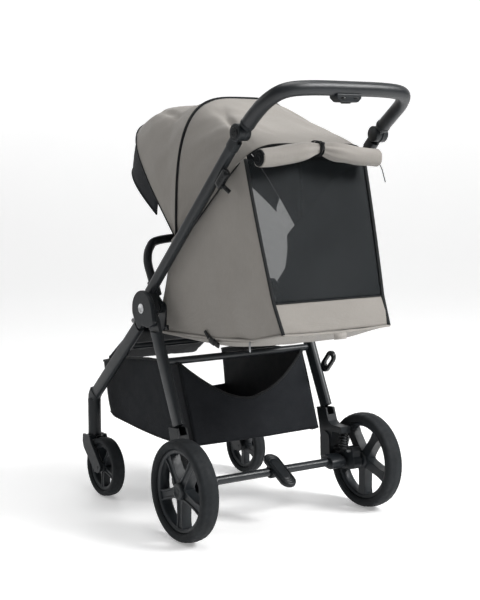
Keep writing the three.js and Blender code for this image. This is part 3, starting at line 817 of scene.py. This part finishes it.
def tub_side(s):
    """One side wall, from the seam under the seat up to the tuck inside the hood."""
    def point(u, v):
        low = along_line(TUB_BOTTOM, u)
        high = along_line(TUB_TOP, u)
        bow = math.sin(math.pi * v)
        y = lerp(low[0], high[0], v) + 22 * bow * (1 - u) ** 2
        z = lerp(low[1], high[1], v)
        edge = along_line(PANEL_LINE, v)
        y += (edge[0] - lerp(TUB_BOTTOM[-1][0], TUB_TOP[-1][0], v)) * u ** 4
        puff = 4.0 * bow * math.sin(math.pi * u)
        tuck = 3.4 * noise.noise(Vector((u * 8.0, v * 1.2, 4.2 + s))) * (1 - v) * (0.3 + u)
        drag = 2.2 * noise.noise(Vector((u * 3.0 + v * 2.5, v * 1.0 - u * 2.0, 8.0 + s)))
        inward = 4.0 * ease((v - 0.8) / 0.2)
        return mm(s * (tub_half(v, u) + puff + tuck + drag * bow - inward), y, z)
    return point


def seat():
    for side, s in SIDES:
        # The side walls' inner faces are painted shade in near-black, not the taupe of the cloth.
        cloth = grid(f"tub_side_{side}", tub_side(s), 64, 52, TAUPE, thickness=2.0, inner_shade=INSIDE_PAINTED_SHADE)
        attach(cloth, "upper_frame")
    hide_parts("seat_tub")

    def floor_point(u, v):
        y, z = along_line(TUB_BOTTOM, u)
        x = lerp(-1, 1, v)
        sag = 22 * (1 - abs(x) ** 7) * math.sin(math.pi * min(1, 0.08 + u * 0.95)) ** 0.7
        return mm(x * (tub_half(0, u) + 1), y, z - sag + wrinkle((x, u, 0), 3.0, 2.0, 3.0) * (1 - x * x))
    base = grid("tub_floor", floor_point, 56, 44, TAUPE, thickness=2.0, body="upper_frame")
    for side, s in SIDES:
        path = []
        for i in range(71):
            y, z = along_line(TUB_BOTTOM, i / 70)
            path.append(mm(s * (tub_half(0, i / 70) + 1.5), y, z + 0.5))
        sweep(f"tub_piping_{side}", path, ring_section(2.6, 2.6, 10), TAUPE_PIPING, "upper_frame")
        under = [p + Vector((-s * 0.004, 0, -0.0065 * math.sin(math.pi * i / 70)))
                 for i, p in enumerate(path)]
        sweep(f"tub_under_seam_{side}", under, ring_section(1.8, 1.8, 8), TAUPE_PIPING, "upper_frame")
    back = [mm(lerp(-1, 1, i / 40) * tub_half(0, 1), 220, 496 - 4 * math.sin(math.pi * i / 40))
            for i in range(41)]
    sweep("tub_piping_back", back, ring_section(2.6, 2.6, 10), TAUPE_PIPING, "upper_frame",
          reference=Vector((0, 1, 0)))


def panel_half(t):
    return tub_half(t, 1) - 1


def panel_point(x, t, out=0.0):
    y, z = along_line(PANEL_LINE, t)
    return mm(x, y + out, z)


def rear_panel():
    def band(u, v):
        t = v * PANEL_SPLIT
        x = lerp(-1, 1, u) * panel_half(t)
        return panel_point(x, t, 3.0 * math.sin(math.pi * v) + wrinkle((u, v, 1), 5, 1.4, 1.0))
    lower = grid("rear_band", band, 44, 12, TAUPE, thickness=2.2, body="upper_frame")

    def window(u, v):
        t = lerp(PANEL_SPLIT, 1.0, v)
        x = lerp(-1, 1, u) * (panel_half(t) - 1)
        slack = math.sin(math.pi * u) * math.sin(math.pi * v)
        crease = noise.noise(Vector((u * 2.2 + v * 1.4, v * 1.2, 3.0)))
        return panel_point(x, t, -9 * slack + 5.0 * slack * crease)
    mesh = grid("window_mesh_panel", window, 48, 52, MESH, thickness=0.8, node="rear_panel",
                body="upper_frame")
    for side, s in SIDES:
        path = [panel_point(s * (panel_half(i / 60) - 1), i / 60, 1.2) for i in range(61)]
        sweep(f"zip_tape_{side}", path, ring_section(4.4, 2.2, 14, 3), PIPING, "upper_frame")
    half = panel_half(PANEL_SPLIT) - 4
    hem = [panel_point(lerp(-half, half, i / 40), PANEL_SPLIT, 1.2) for i in range(41)]
    sweep("window_hem", hem, ring_section(0.9, 1.6, 10, 3), PIPING, "upper_frame",
          reference=Vector((0, 1, 0)))


ROLL = (150.0, 884.0)
ROLL_HALF = 168.0


def roll_centre(x):
    """Height and depth of the roll's middle line: the tie lifts it."""
    t = abs(x) / ROLL_HALF
    return ROLL[0] - 4 * (1 - t), ROLL[1] + 20 * (1 - t) ** 1.3 - 2 * t


def roll_radius(x):
    waist = math.exp(-(x / 30.0) ** 2)
    return 22.5 - 9.5 * waist - 1.4 * (abs(x) / ROLL_HALF) ** 3


def flap():
    """The window flap, rolled up and tied in the middle."""
    steps, around = 110, 56

    def point(u, v):
        x = lerp(-ROLL_HALF, ROLL_HALF, u)
        cy, cz = roll_centre(x)
        a = 2 * math.pi * v
        pull = math.exp(-(x / 70.0) ** 2)
        r = roll_radius(x) + 1.9 * pull * math.sin(7 * a + 1.0) * (1 - math.exp(-(x / 14.0) ** 2))
        r += wrinkle((x / 70, math.cos(a), math.sin(a)), 1.6, 1.8, 5.0)
        return mm(x, cy + r * math.cos(a), cz + r * math.sin(a) * 0.97)
    verts = [point(i / steps, j / around) for i in range(steps + 1) for j in range(around)]
    faces = []
    for i in range(steps):
        for j in range(around):
            k = (j + 1) % around
            faces.append((i * around + j, i * around + k, (i + 1) * around + k, (i + 1) * around + j))
    faces.append(tuple(range(around))[::-1])
    faces.append(tuple(steps * around + j for j in range(around)))
    roll = make("flap_roll_cloth", verts, faces, TAUPE, "upper_frame", "flap_roll")
    for side, s in SIDES:
        cy, cz = roll_centre(s * ROLL_HALF)
        inner = 18.5
        mouth = [(inner, s * (ROLL_HALF - 3)), (inner, s * (ROLL_HALF + 0.8)), (0.01, s * (ROLL_HALF + 0.8)),
                 (0.01, s * (ROLL_HALF - 3))]
        # A dark disc in the painted-shade material caps each end of the roll: painted shade for the hollow
        # inside the rolled cloth.
        lathe(f"flap_end_shade_{side}", mouth, (0, cy, cz), INSIDE_PAINTED_SHADE, "upper_frame", segments=48)
        coil = []
        for i in range(121):
            a = 2 * math.pi * 2.6 * i / 120 + (0.4 if s > 0 else 2.2)
            r = lerp(20.0, 4.0, i / 120)
            coil.append(mm(s * (ROLL_HALF + 0.4), cy + r * math.cos(a), cz + r * math.sin(a) * 0.97))
        sweep(f"flap_spiral_{side}", coil, ring_section(2.6, 1.6, 8), PIPING, "upper_frame")
    for i, x in enumerate((-6.0, 6.0)):
        cy, cz = roll_centre(x)
        strap = []
        for j in range(40):
            a = 2 * math.pi * j / 40
            r = roll_radius(x) + 1.4
            strap.append(mm(x * 0.6, cy + r * math.cos(a), cz + r * math.sin(a)))
        sweep(f"flap_tie_{i}", strap, ring_section(1.2, 3.2, 10, 3), PIPING, "upper_frame", closed=True,
              reference=Vector((1, 0, 0)))
    cy, cz = roll_centre(0)
    lathe("flap_toggle", [(0.01, -9), (4.5, -9), (5.8, -7), (4.6, 0), (5.8, 7), (4.5, 9), (0.01, 9)],
          (0, cy + 14, cz + 5), SHINY, "upper_frame", segments=24, axis="Z", closed=False)
    tie = [mm(0, cy + 4, cz + 12), mm(0, cy - 8, cz + 17), mm(0, cy - 22, cz + 15), mm(0, 118, 908)]
    sweep("flap_hanger", catmull(tie, 8), ring_section(4.5, 1.0, 10, 3), PIPING, "upper_frame")
    return roll


def draw_cord():
    """The short cord that hangs from the rolled flap."""
    cord = catmull([mm(-160, 172, 866), mm(-161, 178, 856), mm(-163, 181, 844), mm(-165, 186, 826)], 8)
    obj = sweep("flap_draw_cord", cord, ring_section(1.2, 1.2, 12), PIPING, "upper_frame")


def details():
    """Strap clip on the pusher, side-release buckle, zip pull and fabric tag."""
    a, b = mm(208, 50, 820), mm(208, 82, 852)
    path = [a.lerp(b, i / 8) for i in range(9)]
    sweep("pusher_clip_band", path, ring_section(7.5, 10.5, 24, 4), SHINY, "upper_frame")
    knob = [mm(206, 62, 822), mm(202, 68, 815), mm(194, 74, 806)]
    sweep("pusher_clip_tail", catmull(knob, 6), ring_section(5.5, 3.5, 16, 3), SHINY, "upper_frame")
    for i, (y0, y1, half) in enumerate(((-52, -30, 8.0), (-33, -12, 6.5))):
        path = [mm(166 + 2 * k / 6, lerp(y0, y1, k / 6), 457 - 5 * k / 6 - 5 * i) for k in range(7)]
        sweep(f"side_buckle_{i}", path, ring_section(3.2, half, 16, 3), SHINY, "upper_frame")
    path = [mm(167, -56, 459), mm(168, -62, 468), mm(170, -68, 476)]
    sweep("side_strap", catmull(path, 5), ring_section(1.0, 5.0, 10, 3), PIPING, "upper_frame")
    path = [mm(160, 103, 470), mm(160.5, 104, 462), mm(160.5, 104.5, 452), mm(160, 104, 446)]
    sweep("zip_pull", catmull(path, 5), ring_section(1.4, 2.6, 12, 3), STEEL, "upper_frame")
    corners_of_tag = ((12, 491), (-24, 491), (-24, 476), (12, 476))
    tag = make("seam_tag", [mm(x, 222.5 - 0.6 * k, z) for k in (0, 1) for x, z in corners_of_tag],
               [(0, 1, 2, 3), (4, 7, 6, 5), (0, 4, 5, 1), (1, 5, 6, 2), (2, 6, 7, 3), (3, 7, 4, 0)],
               TAUPE_PIPING, "upper_frame")


# ---- basket ----
def basket():
    low = [(-504, 213), (-484, 205), (-300, 197), (-110, 191), (-84, 199)]
    top = [(-532, 345), (-430, 372), (-300, 386), (-220, 388), (-158, 386)]
    half = 191.0

    def side(s):
        def point(u, v):
            a, b = along_line(low, u), along_line(top, u)
            sag = 7 * math.sin(math.pi * u) * (1 - v) ** 2
            bulge = 4.0 * math.sin(math.pi * v) * math.sin(math.pi * u)
            fold = 1.8 * noise.noise(Vector((u * 6, v * 2, s * 3.0)))
            return mm(s * (half - 3 + bulge * 0.6 + fold - 4 * (1 - v) ** 4), lerp(a[0], b[0], v),
                      lerp(a[1], b[1], v) - sag - 5 * math.sin(math.pi * u) * v)
        return point

    pieces = []
    for name, s in SIDES:
        cloth = grid(f"basket_side_{name}", side(s), 44, 26, BLACK, thickness=1.8)
        if s < 0:
            cloth.data.flip_normals()
        pieces.append(cloth)

    def bottom(u, v):
        y, z = along_line(low, u)
        x = lerp(-1, 1, v)
        sag = 9 * (1 - x * x) * math.sin(math.pi * u) + 7 * math.sin(math.pi * u)
        return mm(x * (half - 6.5), y, z - sag * 0.7 + 1.5)
    pieces.append(grid("basket_floor", bottom, 44, 36, BLACK, thickness=1.8))

    def back(u, v):
        x = lerp(-1, 1, u)
        ridge = 290 + (386 - 290) * abs(x) ** 1.7
        z = lerp(199, ridge, v)
        t = (z - 199) / (386 - 199)
        y = lerp(-84, -158, t) - 10 * math.sin(math.pi * min(1, t * 1.4)) * (1 - x * x)
        fold = 2.6 * noise.noise(Vector((x * 3.2, v * 2.0, 9.0)))
        return mm(x * (half - 6), y + fold, z - 3 * (1 - x * x))
    pieces.append(grid("basket_back", back, 48, 22, BLACK, thickness=1.8))

    def front(u, v):
        x = lerp(-1, 1, u)
        z = lerp(216, 250, v)
        return mm(x * (half - 6), -504 - 6 * v + 8 * (1 - x * x) * v, z - 3 * (1 - x * x))
    pieces.append(grid("basket_front", front, 40, 6, BLACK, thickness=1.8))
    for piece in pieces:
        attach(piece, "chassis")
    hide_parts("storage_basket")
    trim = []
    for i in range(61):
        p = back(i / 60, 1.0)
        trim.append(p + Vector((0, 0.0005, 0.001)))
    sweep("basket_back_trim", trim, ring_section(2.2, 3.4, 10), PIPING, "chassis",
          reference=Vector((0, 1, 0)))
    for name, s in SIDES:
        edge = [side(s)(i / 50, 1.0) for i in range(51)]
        sweep(f"basket_side_trim_{name}", edge, ring_section(2.6, 3.2, 10), PIPING, "chassis")
        seam = [side(s)(i / 50, 0.0) for i in range(51)]
        sweep(f"basket_seam_{name}", seam, ring_section(2.0, 2.0, 10), PIPING, "chassis")


# ---- padded pieces ----
def pad_box(name, y0, z0, y1, z1, half, thick, material, bulge=4.0, nu=26, nv=18):
    """A closed crowned pad between two (y, z) points of its lower face, before it is puffed."""
    a, b = Vector((y0, z0)), Vector((y1, z1))
    along = (b - a).normalized()
    up = Vector((-along.y, along.x))
    verts, faces = [], []
    for layer in (0, 1):
        for i in range(nu + 1):
            for j in range(nv + 1):
                u, v = i / nu, lerp(-1, 1, j / nv)
                edge = (1 - abs(lerp(-1, 1, u)) ** 6) * (1 - abs(v) ** 6)
                h = (2 if layer == 0 else thick - 2) + (bulge * edge if layer else -1.5 * edge)
                p = a.lerp(b, u) + up * h
                width = half * (1 - 0.03 * abs(lerp(-1, 1, u)) ** 4)
                verts.append(mm(v * width, p.x, p.y))
    size = (nu + 1) * (nv + 1)
    for i in range(nu):
        for j in range(nv):
            q = i * (nv + 1) + j
            faces.append((q, q + nv + 1, q + nv + 2, q + 1))
            faces.append((size + q, size + q + 1, size + q + nv + 2, size + q + nv + 1))
    rim_loop = [(i, 0) for i in range(nu)] + [(nu, j) for j in range(nv)]
    rim_loop += [(i, nv) for i in range(nu, 0, -1)] + [(0, j) for j in range(nv, 0, -1)]
    for k, (i, j) in enumerate(rim_loop):
        i2, j2 = rim_loop[(k + 1) % len(rim_loop)]
        p, q = i * (nv + 1) + j, i2 * (nv + 1) + j2
        faces.append((p, q, size + q, size + p))
    return make(name, verts, faces, material)


def puff(obj, voxel=5.0, cap=5.0):
    """Inflates a closed pad a little with Cloth, keeps each point near its start, and smooths it."""
    remesh = obj.modifiers.new("remesh", "REMESH")
    remesh.mode = "VOXEL"
    remesh.voxel_size = voxel / 1000
    apply_modifiers(obj)
    before = [v.co.copy() for v in obj.data.vertices]
    cloth = obj.modifiers.new("cloth", "CLOTH")
    cloth.settings.use_pressure = True
    cloth.settings.uniform_pressure_force = 4.0
    cloth.settings.effector_weights.gravity = 0.0
    cloth.point_cache.frame_start = 1
    cloth.point_cache.frame_end = 20
    for f in range(1, 21):
        bpy.context.scene.frame_set(f)
    apply_modifiers(obj)
    bpy.context.scene.frame_set(1)
    for v, start in zip(obj.data.vertices, before):
        shift = v.co - start
        if shift.length > cap / 1000:
            v.co = start + shift.normalized() * (cap / 1000)
    fine = obj.modifiers.new("fine", "SUBSURF")
    fine.levels = 1
    fine.render_levels = 1
    apply_modifiers(obj)
    obj.data.polygons.foreach_set("use_smooth", [True] * len(obj.data.polygons))
    return obj


def pads():
    """The three loose pads: name, low and high (y, z), half-width, thickness, bulge, fill, body, node."""
    for name, low, high, half, thick, bulge, fill, body, node in (
            ("backrest_pad", (-184, 459), (192, 502), 145, 16, 3.0, 0.5, "backrest", "seat_pad"),
            ("seat_cushion", (-412, 470), (-238, 468), 150, 14, 3.0, 0.6, "chassis", "seat_deck"),
            ("legrest_pad", (-452, 447), (-603, 339), 148, 13, 2.5, 0.6, "legrest", "legrest")):
        pad = puff(pad_box(name, *low, *high, half, thick, BLACK, bulge))
        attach(pad, body)
        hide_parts(node)


# ---- floor, light and camera ----
WORLD_STRENGTH = 0.24


def studio():
    scene = bpy.context.scene
    backdrop = Finish("backdrop_paper", (0.93, 0.93, 0.93), 0.9)
    backdrop.tint(backdrop.noise(3, 2), 0.004)
    backdrop.set("Emission Color", (1, 1, 1, 1))
    split = backdrop.nodes.new("ShaderNodeSeparateXYZ")
    backdrop.links.new(backdrop.where, split.inputs[0])
    glow = backdrop.spread(split.outputs["Z"], 0.27, 0.6, 0.0, 1.6)
    backdrop.links.new(glow, backdrop.bsdf.inputs["Emission Strength"])
    depth, reach, height, bend = 7.0, 9.0, 8.0, 2.5
    profile = [(reach, 0.0), (-depth + bend, 0.0)]
    for i in range(1, 13):
        a = math.pi / 2 * i / 12
        profile.append((-depth + bend - bend * math.sin(a), bend - bend * math.cos(a)))
    profile.append((-depth, height))
    back = CAMERA_BACK.xy.normalized()
    across = Vector((-back.y, back.x))
    verts = []
    for along, z in profile:
        for side in (-9.0, 9.0):
            p = back * along + across * side
            verts.append(Vector((p.x, p.y, z)))
    faces = [(2 * i, 2 * i + 1, 2 * i + 3, 2 * i + 2) for i in range(len(profile) - 1)]
    floor = make("backdrop", verts, faces, backdrop.mat)
    world = bpy.data.worlds.new("studio")
    scene.world = world
    world.use_nodes = True
    sky = world.node_tree.nodes["Background"]
    sky.inputs["Color"].default_value = (1, 1, 1, 1)
    sky.inputs["Strength"].default_value = WORLD_STRENGTH
    target = mm(0, -60, 560)
    for name, place, size, power in (
            ("key", (-2.0, 2.7, 2.9), 1.5, 170),
            ("top", (-0.2, 0.5, 3.3), 1.8, 50),
            ("edge", (2.4, -1.6, 2.2), 1.2, 12)):
        light = bpy.data.lights.new(name, "AREA")
        light.size = size
        light.energy = power
        lamp = bpy.data.objects.new(name, light)
        lamp.location = place
        lamp.rotation_euler = (target - lamp.location).to_track_quat("-Z", "Y").to_euler()
        scene.collection.objects.link(lamp)
    scene.view_settings.view_transform = "Standard"


CAMERA_LENS = 78.5
CAMERA_SENSOR = 36
CAMERA_PLACE = (1838, 2499.5, 898)
CAMERA_AZIMUTH = math.radians(145.43)
CAMERA_PITCH = math.radians(6.5)
CAMERA_BACK = Vector((math.sin(CAMERA_AZIMUTH) * math.cos(CAMERA_PITCH),
                      -math.cos(CAMERA_AZIMUTH) * math.cos(CAMERA_PITCH), math.sin(CAMERA_PITCH)))


def camera():
    data = bpy.data.cameras.new("camera")
    data.lens = CAMERA_LENS
    data.sensor_width = CAMERA_SENSOR
    cam = bpy.data.objects.new("camera", data)
    cam.location = mm(*CAMERA_PLACE)
    cam.rotation_euler = CAMERA_BACK.to_track_quat("Z", "Y").to_euler()
    bpy.context.scene.collection.objects.link(cam)
    bpy.context.scene.camera = cam


camera()
draw_cord()
studio()
wheels()
hubs()
frame_parts()
springs()
pedal()
release()
elbows()
handle()
bumper()
hood()
seat()
rear_panel()
flap()
details()
basket()
pads()
